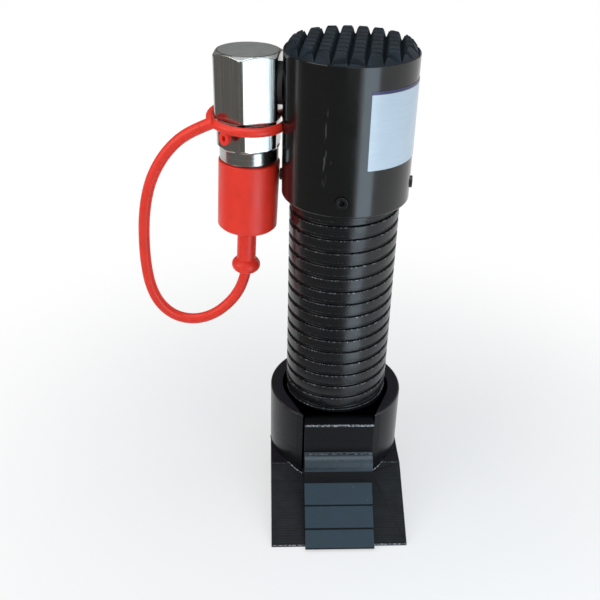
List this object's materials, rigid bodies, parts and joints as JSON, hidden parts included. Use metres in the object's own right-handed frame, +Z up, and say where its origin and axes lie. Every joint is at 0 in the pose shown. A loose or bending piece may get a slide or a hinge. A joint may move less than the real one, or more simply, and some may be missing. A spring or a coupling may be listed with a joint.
{
  "type": "hydraulic door opener",
  "caption": "Hydraulic door opener: a ribbed barrel with a studded head lifts a stepped toe off a fixed wedge toe; a side coupler takes the hose under a red dust cap.",
  "frame": {"origin": "on the underside of the base block, on the barrel's axis", "axes": "+Z up along the barrel's axis, the toes point to -Y, the side coupler stands on the -X side"},
  "size_m": [0.1481, 0.1112, 0.2641],
  "materials": {
    "black_steel": "semi-gloss black",
    "toe_steel": "satin slate black",
    "head_paint": "satin black",
    "plated_steel": "machined and plated",
    "dark_screw": "oiled black",
    "hard_chrome": "ground and hard chromed",
    "spring_steel": "oiled",
    "red_vinyl": "soft satin vinyl",
    "seal_rubber": "matte"
  },
  "bodies": {
    "base": {"base_block": "black_steel", "plunger": "hard_chrome", "piston_seals": "seal_rubber", "plunger_lock_screw": "dark_screw", "return_spring": "spring_steel"},
    "barrel": {"ribbed_barrel": "black_steel", "end_gland": "black_steel", "gland_wiper": "seal_rubber", "upper_toe": "toe_steel", "head_block": "head_paint", "head_screws": "dark_screw", "port_nipple": "plated_steel", "port_seal": "seal_rubber", "coupler_body": "plated_steel", "coupler_nipple": "plated_steel", "poppet_spring": "spring_steel", "tether_ring": "red_vinyl"},
    "check_valve": {"coupler_poppet": "plated_steel"},
    "dust_cap": {"dust_cap": "red_vinyl", "cap_tether": "red_vinyl"}
  },
  "joints": [
    {"name": "lift", "type": "slide", "parent": "base", "child": "barrel", "axis": [0, 0, 1], "range_m": [0, 0.1], "stiffness_N_per_m": 1500, "springref_m": -0.01, "deforming": ["return_spring"]},
    {"name": "valve_push", "type": "slide", "parent": "barrel", "child": "check_valve", "axis": [0, 0, 1], "range_m": [0, 0.004], "stiffness_N_per_m": 400, "springref_m": -0.002, "deforming": ["poppet_spring"]},
    {"name": "cap_pull", "type": "slide", "parent": "barrel", "child": "dust_cap", "axis": [0, 0, -1], "range_m": [0, 0.045], "deforming": ["cap_tether"]}
  ]
}
